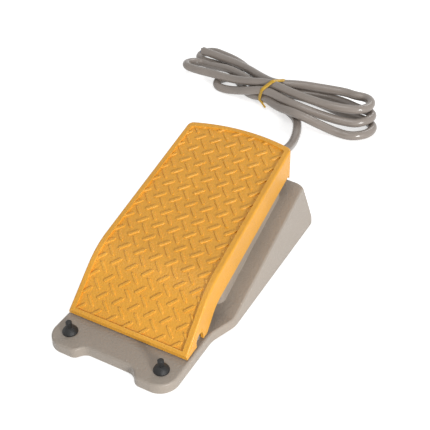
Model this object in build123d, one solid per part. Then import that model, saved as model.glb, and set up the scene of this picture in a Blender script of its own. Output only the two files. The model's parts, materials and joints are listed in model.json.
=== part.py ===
from build123d import *
import os
from math import cos, degrees, pi, radians, sin, tan

# Foot switch: a treadle pedal hinged on a cast base, which holds a small snap switch and its cord.
# Millimetres. +X right, +Y from the toe plate to the cord, +Z up.
# The origin is on the floor under the middle of the base.
# Lengths named ..._d are distances behind the pedal's front edge.

# Base
base_length = 218.0
plate_width = 99.6
body_width = 114.6
rim_height = 0.8
plate_top = 8.2
base_wall = 3.2
side_draft = 3.0
lug_depth = 6.8
recess_width = 38.0
recess_round = 8.0
lug_run = 5.5
lug_round = 6.0
lug_corner = 13.5
pedal_setback = 27.5
flare_start_d = 29.0
flare_end_d = 48.5
flare_round = 20.0
rear_bow = 3.2
rear_corner = 11.0
top_round = 1.5
ramp_start_d = 48.4
ramp_slope = 17.64
rear_lean = 26.0
lean_start = 4.0
cover_front_d = 49.0
cavity_front_d = 52.0
pocket_roof = 3.4
pocket_x = ((-43.0, -16.0), (-13.0, 13.0), (16.0, 43.0))
pocket_d = 25.0
pocket_length = 36.0
pocket_corner = 4.0

# Pedal
pedal_length = 170.6
pedal_corner_d = 164.9
pedal_front_half = 48.0
pedal_rear_half = 44.2
crest_rise = 4.1
heel_angle = 41.0
tread_angle = 14.6
bend_d = 36.0
bend_radius = 57.0
tread_sink = 1.5
tread_plate = 3.0
rim_side = 4.4
rim_front = 1.9
rim_rear = 4.0
inner_corner = 3.0
skirt_wall = 2.2
skirt_height = 20.9
skirt_clearance = 1.2
skirt_bend_d = 41.4
rear_skirt_height = 24.9
rear_skirt_d = 161.0
crest_round = 1.4
pedal_rib = 3.0
pedal_rib_wall = 2.0
pedal_rib_d = (44.0, 66.0, 84.0, 118.0, 148.0)
pedal_rib_x = (-26.0, 24.0)
pedal_rib_front_d = 40.0
skirt_radii = (2.0, 25.0, 1.0, 1.0)
skirt_steepening = 5.0
mark_d = (19.4, 21.4)
mark_z = (10.0, 19.7)
mark_depth = 0.6

# Tread bars
bar_length = 10.4
bar_width = 2.4
bar_height = 0.8
bar_root = 0.5
bar_pitch_x = 12.95
bar_pitch_s = 12.57
bar_rear_d = 160.0
bar_taper = 20.0
bar_sets = ((-45.0, 0.0, -2.65), (45.0, 0.5, -1.75))

# Pivot
pivot_d = 17.5
pivot_rise = 4.8
press_angle = 2.0
shaft_radius = 2.5
shaft_running = 0.05
ear_radius = 4.8
ear_width = 6.2
lug_radius = 4.6
lug_width = 6.0
lug_sink = 0.8
lug_space = 2.0
notch_radius = 4.6
side_gap = 1.1
washer_width = 0.8
washer_gap = 0.15
bush_wall = 1.0
bush_flange = 1.0
clip_width = 0.8
clip_bite = 0.55

# Housing under the pedal
housing_front_d = 54.0
housing_rear_d = 154.5
housing_headroom = 14.7
housing_gap = 0.8
housing_corner = 6.0
housing_wall = 2.5

# Push rod and its guide
rod_arm = 85.0
rod_radius = 3.0
rod_headroom = 6.7
contact_gap = 0.3
guide_radius = 6.0
guide_length = 11.0
guide_flange = 1.2
guide_running = 0.05
guide_seat_rise = 1.6
guide_boss_wall = 3.5
rod_clip_bite = 0.6
seal_depth = 0.6
adjuster_radius = 2.5
nut_across = 8.0
nut_height = 2.6
boss_height = 3.2

# Return spring
spring_arm = 115.0
spring_radius = 8.0
spring_wire = 0.9
spring_turns = 5.0
spring_seat_gap = 0.15
cup_depth = 12.2
cup_wall = 2.0
cup_gap = 1.5
seat_step = 0.2

# Snap switch
case_length = 27.8
case_height = 15.9
case_width = 10.3
case_gap = 8.0
case_nose = 2.5
lever_arm = 20.0
lever_width = 5.0
lever_thickness = 0.5
lever_tail = 2.0
lever_rise = 1.5
pin_radius = 0.75
eye_radius = 1.4
button_arm = 6.0
button_radius = 1.6
terminal_size = (0.8, 4.8, 6.9)
switch_hole_pitch = 22.2
switch_hole_height = 4.0
switch_screw_radius = 1.5
bracket_sheet = 2.0
bracket_post_x = 18.0
bracket_post_pitch = 28.0
post_radius = 4.0
post_screw_radius = 1.65
screw_clearance = 0.2
screw_depth = 8.0
hole_allowance = 0.5
screw_head = (3.0, 2.2)
bracket_margin = 5.0
bracket_shift = 4.0
bracket_relief = 3.0

# Bottom cover and feet
cover_sheet = 1.5
cover_height = 1.5
gasket_thickness = 1.0
cover_inset = 1.8
cover_clearance = 0.15
side_screw_d = (62.0, 112.0)
side_screw_inset = 8.8
rear_screw_inset = 10.0
rear_screw_x = 25.0
cover_screw_tip = 9.0
cover_sink = 1.2
cover_head = 3.6
gasket_width = 5.0
foot_x = 36.8
foot_d = -13.8
rear_foot_side_inset = 11.3
rear_foot_inset = 19.0
foot_radius = 8.0
foot_disc = 3.0
foot_stem_radius = 3.1
foot_web_floor = 3.2
rear_foot_web = 5.0
foot_boss_wall = 2.0
foot_seat_gap = 0.2
foot_round = 0.8
front_head = (5.5, 4.4, 2.15, 5.2)
rear_head = (4.6, 2.6, 2.0, 2.0)

# Cord and what holds it
cord_radius = 4.2
cord_height = 16.0
outlet_radius = 10.5
outlet_bore = 7.0
outlet_length = 18.5
bushing_flange = 2.5
bushing_flange_radius = 9.5
boot_length = 29.5
boot_root_radius = 7.0
boot_tip_radius = 5.4
boot_grooves = 5
boot_groove_pitch = 4.6
boot_groove_width = 1.4
boot_groove_depth = 0.9
sheath_inside = 44.5
clamp_inset = 29.5
clamp_width = 7.0
clamp_sheet = 2.0
clamp_post_x = 11.0
cord_stop = 6.0
wire_radius = 1.1
wire_bend = 8.0
wire_spread = 2.2
wire_drop = 1.0
wire_under_case = 2.6
wire_lap = 2.0
wire_level_share = 10 / 42.7
wire_slope_share = 24 / 42.7
earth_wire_level = 12.0
earth_wire_turn = 9.0
earth_wire_bend = 4.0
earth_post_rise = 4.0
lug_sheet = 0.8
lug_length = 8.0
lug_half = 1.8
lug_ring_radius = 3.6
earth_post_x = -26.0
earth_post_d = 122.0
cord_route = [
    (0.0, 48.0, cord_height),
    (-0.8, 66.0, 10.8),
    (-3.6, 85.0, 5.9),
    (-8.4, 104.0, 4.4),
    (-15.6, 122.0, 4.3),
]
hank_outline = [
    (-176.0, 347.5), (-124.0, 333.5), (-62.0, 327.5), (-12.0, 302.0), (40.0, 306.5),
    (56.0, 321.5), (58.0, 343.5), (40.0, 367.5), (0.0, 367.5), (-30.0, 363.0),
    (-57.0, 352.5), (-100.0, 389.5), (-128.0, 407.5), (-160.0, 415.5), (-177.0, 399.5),
]
hank_corner = 12.0
hank_height = 26.0
hank_tail_height = 17.5
hank_slope_x = (-120.0, -66.0)
hank_chamfer = 6.0
tie_x = -60.0
tie_width = 3.2
tie_thickness = 1.2

pedal_front = -base_length / 2 + pedal_setback
rear_face_d = base_length - pedal_setback
rear_foot_x = body_width / 2 - rear_foot_side_inset
rear_foot_d = rear_face_d - rear_foot_inset
outlet_front_d = rear_face_d - outlet_length
sheath_end_d = rear_face_d - sheath_inside
clamp_d = rear_face_d - clamp_inset
crest_front_height = plate_top + crest_rise
skirt_foot = plate_top + skirt_clearance
pivot_height = plate_top + pivot_rise
pivot_y = pedal_front + pivot_d
rod_y = pivot_y + rod_arm
rod_d = pivot_d + rod_arm
spring_d = pivot_d + spring_arm
ramp_rise = tan(radians(ramp_slope))
tread_rise = tan(radians(tread_angle))
press = radians(press_angle)
housing_slope = tread_angle - press_angle
ledge_height = cover_height + cover_sheet + gasket_thickness
cavity_height = 80.0
reach = 150.0
overrun = 5.0


def at(x, d, z):
    """Location of a point given by its distance behind the pedal's front edge."""
    return Pos(x, pedal_front + d, z)


def slab(points, half_width, x=0.0):
    """Prism along X over a side outline of (distance behind the pedal's front, height) points."""
    outline = Plane.YZ.offset(x) * Pos(pedal_front, 0) * make_face(Polyline(*points, close=True))
    return extrude(outline, half_width, both=True)


def standing(radius, low, high, x, d):
    """Upright cylinder between two heights."""
    return at(x, d, (low + high) / 2) * Cylinder(radius, high - low)


def crosswise(radius, x_low, x_high, d, z):
    """Cylinder along X between two places."""
    return at((x_low + x_high) / 2, d, z) * Rot(0, 90, 0) * Cylinder(radius, x_high - x_low)


def lengthwise(radius, d_low, d_high, x, z):
    """Cylinder along Y between two places."""
    return at(x, (d_low + d_high) / 2, z) * Rot(90, 0, 0) * Cylinder(radius, d_high - d_low)


def block(x_range, d_range, z_range):
    """Box between two places."""
    size = [high - low for low, high in (x_range, d_range, z_range)]
    middle = [(low + high) / 2 for low, high in (x_range, d_range, z_range)]
    return at(*middle) * Box(*size)


def pair(solid):
    """A solid and its mirror image across the middle plane."""
    return [solid, mirror(solid, Plane.YZ)]


# Pedal curves


def bend_point(drop):
    """Where the heel and tread lines meet, `drop` below the crest of the rim."""
    a, b = radians(tread_angle), radians(heel_angle)
    scale = drop / (1 + cos(b - a))
    crest = crest_front_height + bend_d * tan(b)
    return bend_d + scale * (sin(a) + sin(b)), crest - scale * (cos(a) + cos(b))


def crest_at(d, drop=0.0):
    """Height of the straight tread, `drop` below the crest, at a place behind the bend."""
    corner_d, corner_z = bend_point(drop)
    return corner_z + (d - corner_d) * tread_rise


def under_top(drop, first_d, last_d, half_width):
    """Everything below the pedal's top curve, `drop` below the crest of the rim."""
    corner_d, corner_z = bend_point(drop)
    first = (first_d, corner_z - (corner_d - first_d) * tan(radians(heel_angle)))
    curve = FilletPolyline(first, (corner_d, corner_z), (last_d, crest_at(last_d, drop)),
                           radius=bend_radius - drop)
    floor = -reach
    sides = Polyline(curve @ 1, (last_d, floor), (first_d, floor), curve @ 0)
    outline = Plane.YZ * Pos(pedal_front, 0) * make_face(curve + sides)
    return extrude(outline, half_width, both=True)


def pedal_half(d):
    """Half the pedal's width at a place."""
    return pedal_front_half - (pedal_front_half - pedal_rear_half) * d / pedal_corner_d


def pedal_plan(side, front, rear, corner=5.0):
    """Upright prism over the pedal's plan, drawn in by the widths given."""
    front_half = pedal_half(front) - side
    corner_d = pedal_corner_d - rear
    rear_half = pedal_half(corner_d) - side
    edge = Polyline((-rear_half, corner_d), (-front_half, front), (front_half, front),
                    (rear_half, corner_d))
    bow = ThreePointArc(edge @ 1, (0, pedal_length - rear), edge @ 0)
    plan = make_face(edge + bow)
    ends = plan.vertices().filter_by(lambda v: v.Y > corner_d - 1)
    return extrude(Pos(0, pedal_front) * fillet(ends, corner), reach)


def tread_place(x, s):
    """Frame on the tread surface: x across, s along it from the rear row towards the front."""
    a, b = radians(tread_angle), radians(heel_angle)
    corner_d, corner_z = bend_point(tread_sink)
    radius = bend_radius - tread_sink
    tangent = radius * tan((b - a) / 2)
    straight = (bar_rear_d - corner_d) / cos(a) - tangent
    arc = radius * (b - a)
    if s < straight:
        run, angle = straight + tangent - s, a
        d, z = corner_d + run * cos(a), corner_z + run * sin(a)
    elif s < straight + arc:
        angle = a + (s - straight) / radius
        centre_d = corner_d + tangent * cos(a) + radius * sin(a)
        centre_z = corner_z + tangent * sin(a) - radius * cos(a)
        d, z = centre_d - radius * sin(angle), centre_z + radius * cos(angle)
    else:
        run, angle = s - straight - arc + tangent, b
        d, z = corner_d - run * cos(b), corner_z - run * sin(b)
    return at(x, d, z) * Rot(degrees(angle), 0, 0), d


def tread_bars():
    """Raised bars of the herringbone, cut off inside the rim."""
    half, width = bar_length / 2, bar_width / 2
    shoulder = half - bar_width * 0.6
    outline = make_face(Polyline((-half, 0), (-shoulder, -width), (shoulder, -width), (half, 0),
                                 (shoulder, width), (-shoulder, width), close=True))
    bar = Pos(0, 0, -bar_root) * extrude(outline, bar_root + bar_height, taper=bar_taper)
    inner, edge = [], []
    rows = int((bar_rear_d + 20) / bar_pitch_s) + 1
    for row in range(-1, rows):
        for column in range(-3, 5):
            for turn, shift, start_x in bar_sets:
                x = (column - 0.5 + shift) * bar_pitch_x + start_x
                place, d = tread_place(x, (row + shift) * bar_pitch_s)
                if not rim_front < d < pedal_length or abs(x) > pedal_half(d):
                    continue
                solid = place * Rot(0, 0, turn) * bar
                clear = pedal_half(d) - rim_side - half
                inside = abs(x) < clear and rim_front + half < d < bar_rear_d - half
                (inner if inside else edge).append(solid)
    fence = pedal_plan(rim_side - 0.5, rim_front - 0.5, rim_rear - 0.5)
    trimmed = [piece for bar_solid in edge for piece in (bar_solid & fence).solids()]
    return inner + [piece for piece in trimmed if piece.volume > 1.0]


def pedal():
    """Treadle: tread plate with a raised rim, side and rear skirts, pivot lugs, ribs and bosses."""
    near, far = -overrun, pedal_length + overrun
    body = under_top(0, near, far, reach) & pedal_plan(0, 0, 0)
    crest_edges = body.edges().filter_by(Axis.X, reverse=True).filter_by(Axis.Z, reverse=True)
    body = fillet(crest_edges.filter_by(lambda e: e.center().Z > crest_front_height - 2), crest_round)
    foot_line = crest_front_height + bend_d * tan(radians(heel_angle)) - skirt_height
    knee = foot_line - (bend_d - skirt_bend_d) * tread_rise
    rise = tan(radians(heel_angle + skirt_steepening))
    lobe_d = skirt_bend_d - (knee - skirt_foot) / rise
    step = knee + (rear_skirt_d - skirt_bend_d) * tread_rise
    rear_foot = crest_at(pedal_corner_d) - rear_skirt_height
    below = FilletPolyline((2 * near, skirt_foot), (lobe_d, skirt_foot), (skirt_bend_d, knee),
                           (rear_skirt_d, step), (rear_skirt_d, rear_foot), (2 * far, rear_foot),
                           radius=list(skirt_radii))
    sides = Polyline(below @ 1, (2 * far, -reach), (2 * near, -reach), below @ 0)
    body -= extrude(Plane.YZ * Pos(pedal_front, 0) * make_face(below + sides), reach, both=True)
    body -= pedal_plan(rim_side, rim_front, rim_rear, inner_corner) - under_top(tread_sink, near, far, reach)
    under = under_top(tread_sink + tread_plate, near, far, reach)
    body -= pedal_plan(skirt_wall, skirt_wall, skirt_wall, inner_corner) & under
    body -= crosswise(notch_radius, -reach, reach, pivot_d, pivot_height)
    body -= block((-reach, reach), (pivot_d - notch_radius, pivot_d + notch_radius), (0, pivot_height))
    body -= pair(block((pedal_half(mark_d[0]) - mark_depth, reach), mark_d, mark_z))
    roof = under_top(tread_sink + tread_plate / 2, near, far, reach)
    inside = roof & pedal_plan(skirt_wall / 2, skirt_wall / 2, skirt_wall / 2)
    extras = []
    for x in (-lug_x(), lug_x()):
        lug = crosswise(lug_radius, x - lug_width / 2, x + lug_width / 2, pivot_d, pivot_height)
        web = block((x - lug_width / 2, x + lug_width / 2), (pivot_d - lug_radius, pivot_d + lug_radius),
                    (pivot_height, reach))
        extras.append((lug + web) & inside)
    rib_zone = inside - under_top(tread_sink + tread_plate + pedal_rib, near, far, reach)
    extras += [block((-reach, reach), (d, d + pedal_rib_wall), (0, reach)) & rib_zone for d in pedal_rib_d]
    extras += [block((x, x + pedal_rib_wall), (pedal_rib_front_d, pedal_corner_d), (0, reach)) & rib_zone
               for x in pedal_rib_x]
    extras.append(standing(nut_across * 0.8, boss_foot(), reach, 0, rod_d) & inside)
    extras.append(standing(cup_outer(), spring_top(), reach, 0, spring_d) & inside)
    body += extras
    body -= lug_bores()
    body -= standing(adjuster_radius, adjuster_foot(), adjuster_top(), 0, rod_d)
    return body + tread_bars()


def pedal_underside(d):
    """Underside of the tread plate at a place behind the bend."""
    return crest_at(d, tread_sink + tread_plate)


def housing_roof(d):
    """Top of the raised housing at a place."""
    rear_roof = pedal_underside(housing_rear_d) - housing_headroom
    return rear_roof - (housing_rear_d - d) * tan(radians(housing_slope))


def rod_top():
    """Top of the push rod at rest."""
    return pedal_underside(rod_d) - rod_headroom


def guide_top():
    """Face that the guide's flange sits on."""
    return housing_roof(rod_d) + guide_seat_rise


def guide_foot():
    """Lower end of the guide."""
    return guide_top() - guide_length


def case_top():
    """Top of the switch case."""
    return guide_foot() - case_gap


def case_foot():
    """Underside of the switch case."""
    return case_top() - case_height


def rod_foot():
    """Lower end of the push rod, just above the raised end of the lever."""
    raised_end = lever_pivot()[1] + (lever_arm + lever_tail) * sin(radians(rest_tilt()))
    return raised_end + lever_thickness / 2 + contact_gap


def cup_bore():
    """Radius inside the spring's cup."""
    return spring_radius + spring_wire + cup_gap


def cup_outer():
    """Radius outside the spring's cup and the socket above it."""
    return cup_bore() + cup_wall


def cup_floor():
    """Floor of the spring's cup."""
    return housing_roof(spring_d) - cup_depth


def adjuster_top():
    """Inner end of the adjusting screw, inside the tread plate."""
    return crest_at(rod_d, tread_sink + tread_plate * 0.6)


def boss_foot():
    """Underside of the boss that takes the adjusting screw."""
    return pedal_underside(rod_d) - boss_height


def adjuster_foot():
    """Tip of the adjusting screw, just above the push rod."""
    return rod_top() + contact_gap


def spring_top():
    """Seat of the return spring under the pedal."""
    return pedal_underside(spring_d - cup_outer()) - seat_step


def ear_outer():
    """Outer face of the base's pivot ears, just inside the skirts."""
    return pedal_half(pivot_d) - skirt_wall - side_gap


def lug_x():
    """Middle of each pedal lug, inboard of the ears and their washers."""
    return ear_outer() - ear_width - washer_width - 2 * washer_gap - bush_flange - lug_width / 2


def lug_bores():
    """Bores of the pedal lugs, which the pivot bushes fill."""
    radius = shaft_radius + bush_wall + shaft_running
    return [crosswise(radius, x - lug_width, x + lug_width, pivot_d, pivot_height)
            for x in (-lug_x(), lug_x())]


# Base


def base_plan(inset=0.0):
    """Plan of the casting, drawn in by a wall."""
    front, rear = -base_length / 2, base_length / 2
    half, wide, recess = plate_width / 2, body_width / 2, recess_width / 2
    flare_start, flare_end = pedal_front + flare_start_d, pedal_front + flare_end_d
    right = [(recess, front + lug_depth), (recess + lug_run, front), (half, front), (half, flare_start),
             (wide, flare_end), (wide, rear - rear_bow)]
    left = [(-x, y) for x, y in reversed(right)]
    radii = [recess_round, lug_round, lug_corner, flare_round, flare_round]
    edge = FilletPolyline(*left, *right, radius=radii[::-1] + radii)
    plan = make_face(edge + ThreePointArc(edge @ 1, (0, rear), edge @ 0))
    corners = plan.vertices().filter_by(lambda v: v.Y > rear - rear_bow - 1)
    plan = fillet(corners, rear_corner)
    return offset(plan, -inset) if inset else plan


def under_ramp(drop):
    """Everything below the toe plate and the ramp, `drop` below their tops."""
    far = base_length
    low = plate_top - drop
    start = ramp_start_d + drop * tan(radians(ramp_slope) / 2)
    points = [(-reach, -reach), (-reach, low), (start, low), (far, low + (far - start) * ramp_rise),
              (far, -reach)]
    return slab(points, reach)


def wedge(inset=0.0, drop=0.0):
    """The casting's outer form, or the same form drawn in by a wall and a roof thickness."""
    upright = extrude(Pos(0, 0, rim_height) * base_plan(inset), cavity_height, taper=side_draft)
    lean = tan(radians(rear_lean))
    length = (cavity_height + lean_start) * (1 + lean**2) ** 0.5
    start = Pos(0, lean_start * lean, rim_height - lean_start)
    slanted = extrude(start * base_plan(inset - lean_start / 4), length, dir=(0, -lean, 1))
    return slanted & under_ramp(drop) & upright


def housing_form(inset=0.0):
    """The raised housing under the pedal, or its inside."""
    side = skirt_wall + housing_gap + inset
    front, rear = housing_front_d + inset, housing_rear_d - inset
    points = [(-pedal_half(front) + side, front), (pedal_half(front) - side, front),
              (pedal_half(rear) - side, rear), (-pedal_half(rear) + side, rear)]
    plan = Pos(0, pedal_front) * make_face(Polyline(*points, close=True))
    plan = fillet(plan.vertices(), housing_corner - inset)
    roof = inset / cos(radians(housing_slope))
    first, last = housing_front_d - overrun, housing_rear_d + overrun
    points = [(first, ledge_height), (first, housing_roof(first) - roof),
              (last, housing_roof(last) - roof), (last, ledge_height)]
    return extrude(plan, reach) & slab(points, reach)


def base_casting():
    """Cast base: toe plate, ramp, raised housing, pivot ears, posts and cord outlet."""
    outer = wedge()
    tops = outer.faces().filter_by(lambda face: face.normal_at().Z > 0.9)
    fold = pedal_front + ramp_start_d
    outer = fillet(tops.edges().filter_by(lambda edge: abs(edge.center().Y - fold) > 0.01), top_round)
    housing = housing_form()
    outer += housing - under_ramp(plate_top / 2)
    envelope = outer
    behind = block((-reach, reach), (cavity_front_d, 2 * base_length), (ledge_height, reach))
    body = outer - (wedge(base_wall, base_wall) & behind)
    body -= housing_form(housing_wall)
    body -= cover_recess()
    body -= toe_pockets()
    body += [solid & envelope for solid in base_posts()]
    outlet = lengthwise(outlet_radius, outlet_front_d, rear_face_d, 0, cord_height)
    body += outlet
    body -= lengthwise(outlet_bore, outlet_front_d - overrun, base_length, 0, cord_height)
    body += guide_boss() + spring_cup() + ears()
    body -= [solid for solid in base_bores()]
    return body


def cover_recess(clearance=0.0):
    """The space for the bottom cover and its gasket."""
    plan = base_plan(cover_inset + clearance) & behind_line(cover_front_d + clearance)
    recess = Pos(0, 0, -overrun) * extrude(plan, ledge_height + overrun)
    radius = foot_radius + foot_boss_wall + 0.4 + clearance
    return recess - [standing(radius, -2 * overrun, reach, x, rear_foot_d)
                     for x in (-rear_foot_x, rear_foot_x)]


def behind_line(d):
    """The half plane behind a distance."""
    return Pos(0, pedal_front + d + reach) * Rectangle(2 * reach, 2 * reach)


def toe_pockets():
    """Lightening pockets under the toe plate, with ribs left between them."""
    top = plate_top - pocket_roof
    pockets = []
    for x_low, x_high in pocket_x:
        plan = Rectangle(x_high - x_low, pocket_length)
        plan = fillet(plan.vertices(), pocket_corner)
        pockets.append(at((x_low + x_high) / 2, pocket_d, -overrun) * extrude(plan, top + overrun))
    return pockets


def base_posts():
    """Posts that hang from the roof inside the casting, before they are trimmed to its outside."""
    posts = [standing(post_radius, ledge_height, reach, x, d) for x, d in cover_screw_places()]
    posts += [standing(post_radius, bracket_height() + bracket_sheet, reach, bracket_post_x, d)
              for d in bracket_post_places()]
    posts += [standing(post_radius, cord_height + clamp_sheet, reach, x, clamp_d)
              for x in (-clamp_post_x, clamp_post_x)]
    half = cord_stop / 2
    posts.append(block((-half, half), (clamp_d - half, clamp_d + half), (cord_height + cord_radius, reach)))
    posts.append(standing(post_radius, earth_height(), reach, earth_post_x, earth_post_d))
    radius = foot_radius + foot_boss_wall
    posts += [standing(radius, rim_height, foot_web_floor + rear_foot_web, x, rear_foot_d)
              for x in (-rear_foot_x, rear_foot_x)]
    return posts


def cover_screw_places():
    """Place of each cover screw."""
    side_x = body_width / 2 - side_screw_inset
    places = [(side_x, d) for d in side_screw_d] + [(rear_screw_x, rear_face_d - rear_screw_inset)]
    return [(side * x, d) for x, d in places for side in (-1, 1)]


def earth_height():
    """End of the post that the earth lug is screwed to."""
    return cord_height + earth_post_rise


def guide_boss():
    """Boss for the push rod's guide in the housing's roof."""
    return standing(guide_radius + guide_boss_wall, guide_foot(), guide_top(), 0, rod_d)


def spring_cup():
    """Cup in the housing's roof that the return spring stands in."""
    top = housing_roof(spring_d - cup_outer())
    return standing(cup_outer(), cup_floor() - cup_wall, top, 0, spring_d)


def ears():
    """Two ears on the toe plate that hold the pivot shaft."""
    solids = []
    for side in (-1, 1):
        x_low, x_high = sorted((side * ear_outer(), side * (ear_outer() - ear_width)))
        ear = crosswise(ear_radius, x_low, x_high, pivot_d, pivot_height)
        ear += block((x_low, x_high), (pivot_d - ear_radius, pivot_d + ear_radius),
                     (plate_top - 1, pivot_height))
        solids.append(ear)
    return solids


def base_bores():
    """Holes and spot faces in the casting."""
    holes = [crosswise(shaft_radius, -reach, reach, pivot_d, pivot_height)]
    sunk = plate_top - lug_sink
    half = lug_width / 2 + lug_space
    long_half = lug_radius + lug_space
    holes += [block((x - half, x + half), (pivot_d - long_half, pivot_d + long_half), (sunk, pivot_height))
              for x in (-lug_x(), lug_x())]
    holes.append(standing(guide_radius, guide_foot() - overrun, reach, 0, rod_d))
    holes.append(standing(guide_radius + guide_boss_wall, guide_top(), reach, 0, rod_d))
    holes.append(standing(cup_bore(), cup_floor(), reach, 0, spring_d))
    for side in (-1, 1):
        for x, d in ((side * foot_x, foot_d), (side * rear_foot_x, rear_foot_d)):
            holes.append(standing(foot_stem_radius, 0, plate_top + overrun, x, d))
            holes.append(standing(foot_radius + foot_seat_gap, -overrun, foot_web_floor, x, d))
    holes += [standing(post_screw_radius, 0, cover_screw_tip + hole_allowance, x, d)
              for x, d in cover_screw_places()]
    depth = screw_depth + hole_allowance
    low = bracket_height()
    holes += [standing(post_screw_radius, low, low + bracket_sheet + depth, bracket_post_x, d)
              for d in bracket_post_places()]
    low = cord_height
    holes += [standing(post_screw_radius, low, low + clamp_sheet + depth, x, clamp_d)
              for x in (-clamp_post_x, clamp_post_x)]
    holes.append(standing(post_screw_radius, low, earth_height() + depth, earth_post_x, earth_post_d))
    return holes


# Pivot


def pivot_shaft():
    """Shaft held in the base's ears, with a groove beside each lug for its clip."""
    shaft = crosswise(shaft_radius, -ear_outer(), ear_outer(), pivot_d, pivot_height)
    shaft = chamfer(shaft.edges().filter_by(GeomType.CIRCLE), 0.4)
    for x_low, x_high in clip_places():
        ring = crosswise(shaft_radius + 1, x_low, x_high, pivot_d, pivot_height)
        shaft -= ring - crosswise(clip_bore(), x_low, x_high, pivot_d, pivot_height)
    return shaft


def clip_bore():
    """Radius at the bottom of the clip grooves."""
    return shaft_radius - clip_bite


def clip_places():
    """Span of each clip along X, inboard of the lugs."""
    start = lug_x() - lug_width / 2 - 0.4
    return [(-start, -start + clip_width), (start - clip_width, start)]


def shaft_clips():
    """Two open retaining rings."""
    rings = []
    for x_low, x_high in clip_places():
        ring = crosswise(shaft_radius + 2, x_low, x_high, pivot_d, pivot_height)
        ring -= crosswise(clip_bore(), x_low, x_high, pivot_d, pivot_height)
        mouth = clip_bore() * 0.8
        ring -= block((x_low, x_high), (pivot_d - mouth, pivot_d + mouth), (pivot_height, pivot_height + 9))
        rings.append(ring)
    return rings


def pivot_bushes():
    """Flanged plain bushes between the pedal's lugs and the shaft."""
    inner = lug_x() - lug_width / 2
    outer = inner + lug_width
    bush = crosswise(shaft_radius + shaft_running + bush_wall, inner, outer, pivot_d, pivot_height)
    bush += crosswise(lug_radius, outer, outer + bush_flange, pivot_d, pivot_height)
    bush -= crosswise(shaft_radius + shaft_running, inner, outer + bush_flange, pivot_d, pivot_height)
    return pair(bush)


def thrust_washers():
    """Washers between the bushes and the ears."""
    outer = ear_outer() - ear_width - washer_gap
    washer = crosswise(lug_radius - 0.2, outer - washer_width, outer, pivot_d, pivot_height)
    washer -= crosswise(shaft_radius + 0.02, outer - washer_width, outer, pivot_d, pivot_height)
    return pair(washer)


# Push rod, adjuster and spring


def adjusting_screw():
    """Screw in the pedal that presses the push rod, with a domed tip and a slot for a driver."""
    foot = adjuster_foot()
    screw = standing(adjuster_radius, foot, adjuster_top(), 0, rod_d)
    return fillet(screw.edges().filter_by(lambda e: e.center().Z < foot + 1), 1.0)


def lock_nut():
    """Thin nut that locks the adjusting screw against its boss."""
    nut = extrude(RegularPolygon(nut_across / 2, 6, major_radius=False), nut_height)
    nut = at(0, rod_d, boss_foot() - nut_height) * nut
    return nut - standing(adjuster_radius, 0, reach, 0, rod_d)


def push_rod():
    """Plain rod with a groove for its clip."""
    rod = standing(rod_radius, rod_foot(), rod_top(), 0, rod_d)
    rod = chamfer(rod.edges().filter_by(GeomType.CIRCLE), 0.5)
    groove = standing(rod_radius + 1, *rod_clip_span(), 0, rod_d)
    return rod - (groove - standing(rod_radius - rod_clip_bite, *rod_clip_span(), 0, rod_d))


def rod_clip_span():
    """Heights of the clip that stops the rod under its guide."""
    return guide_foot() - 1.1, guide_foot() - 0.3


def rod_clip():
    """Open retaining ring on the push rod."""
    ring = standing(rod_radius + 1.8, *rod_clip_span(), 0, rod_d)
    ring -= standing(rod_radius - rod_clip_bite, *rod_clip_span(), 0, rod_d)
    mouth = rod_radius * 0.6
    return ring - block((-mouth, mouth), (rod_d, rod_d + 9), rod_clip_span())


def guide_bush():
    """Flanged guide for the push rod, with a seat for its seal."""
    bush = standing(guide_radius, guide_foot(), guide_top(), 0, rod_d)
    bush += standing(guide_radius + 2.5, guide_top(), guide_top() + guide_flange, 0, rod_d)
    bush -= standing(rod_radius + guide_running, guide_foot() - overrun, reach, 0, rod_d)
    return bush - standing(guide_radius - 1, guide_top() - seal_depth, reach, 0, rod_d)


def rod_seal():
    """Rubber wiper round the push rod, seated in the guide."""
    seal = standing(guide_radius - 1, guide_top() - seal_depth, guide_top() + guide_flange, 0, rod_d)
    return seal - standing(rod_radius + 0.1, guide_top() - overrun, reach, 0, rod_d)


def return_spring():
    """Compression spring between the cup in the housing and the seat under the pedal."""
    low = cup_floor() + spring_wire + spring_seat_gap
    high = spring_top() - spring_wire - spring_seat_gap
    path = Helix(pitch=(high - low) / spring_turns, height=high - low, radius=spring_radius)
    section = Plane(origin=path @ 0, z_dir=path % 0) * RegularPolygon(spring_wire, 8)
    coil = sweep(section, path=path, is_frenet=True)
    return at(0, spring_d, low) * coil


# Snap switch


def case_front():
    """Front end of the switch case."""
    return rod_d - lever_arm - case_nose


def lever_pivot():
    """Distance and height of the lever's pin."""
    return rod_d - lever_arm, case_top() + lever_rise


def rest_tilt():
    """Angle of the lever at rest: it comes level when the pedal is right down."""
    return degrees(rod_arm * press / lever_arm)


def switch_case():
    """Moulded case with ears for the lever pin, holes for its screws and slots for the terminals."""
    d0 = case_front()
    half = case_width / 2
    case = block((-half, half), (d0, d0 + case_length), (case_foot(), case_top()))
    case = fillet(case.edges().filter_by(Axis.X), 0.8)
    pin_d, pin_z = lever_pivot()
    for x_low, x_high in ((-half + 0.2, -lever_width / 2 - 0.2), (lever_width / 2 + 0.2, half - 0.2)):
        ear = crosswise(eye_radius + 0.4, x_low, x_high, pin_d, pin_z)
        case += ear + block((x_low, x_high), (pin_d - 1.8, pin_d + 1.8), (case_top() - 1, pin_z))
    case -= crosswise(pin_radius, -10, 10, pin_d, pin_z)
    button_d = pin_d + button_arm
    case -= standing(button_radius + 0.1, case_top() - 6, case_top() + 1, 0, button_d)
    case -= switch_screw_bores()
    return case - terminals()


def switch_screw_places():
    """Distances and heights of the two screws through the case."""
    first = case_front() + (case_length - switch_hole_pitch) / 2
    height = case_foot() + switch_hole_height
    return (first, height), (first + switch_hole_pitch, height)


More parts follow.
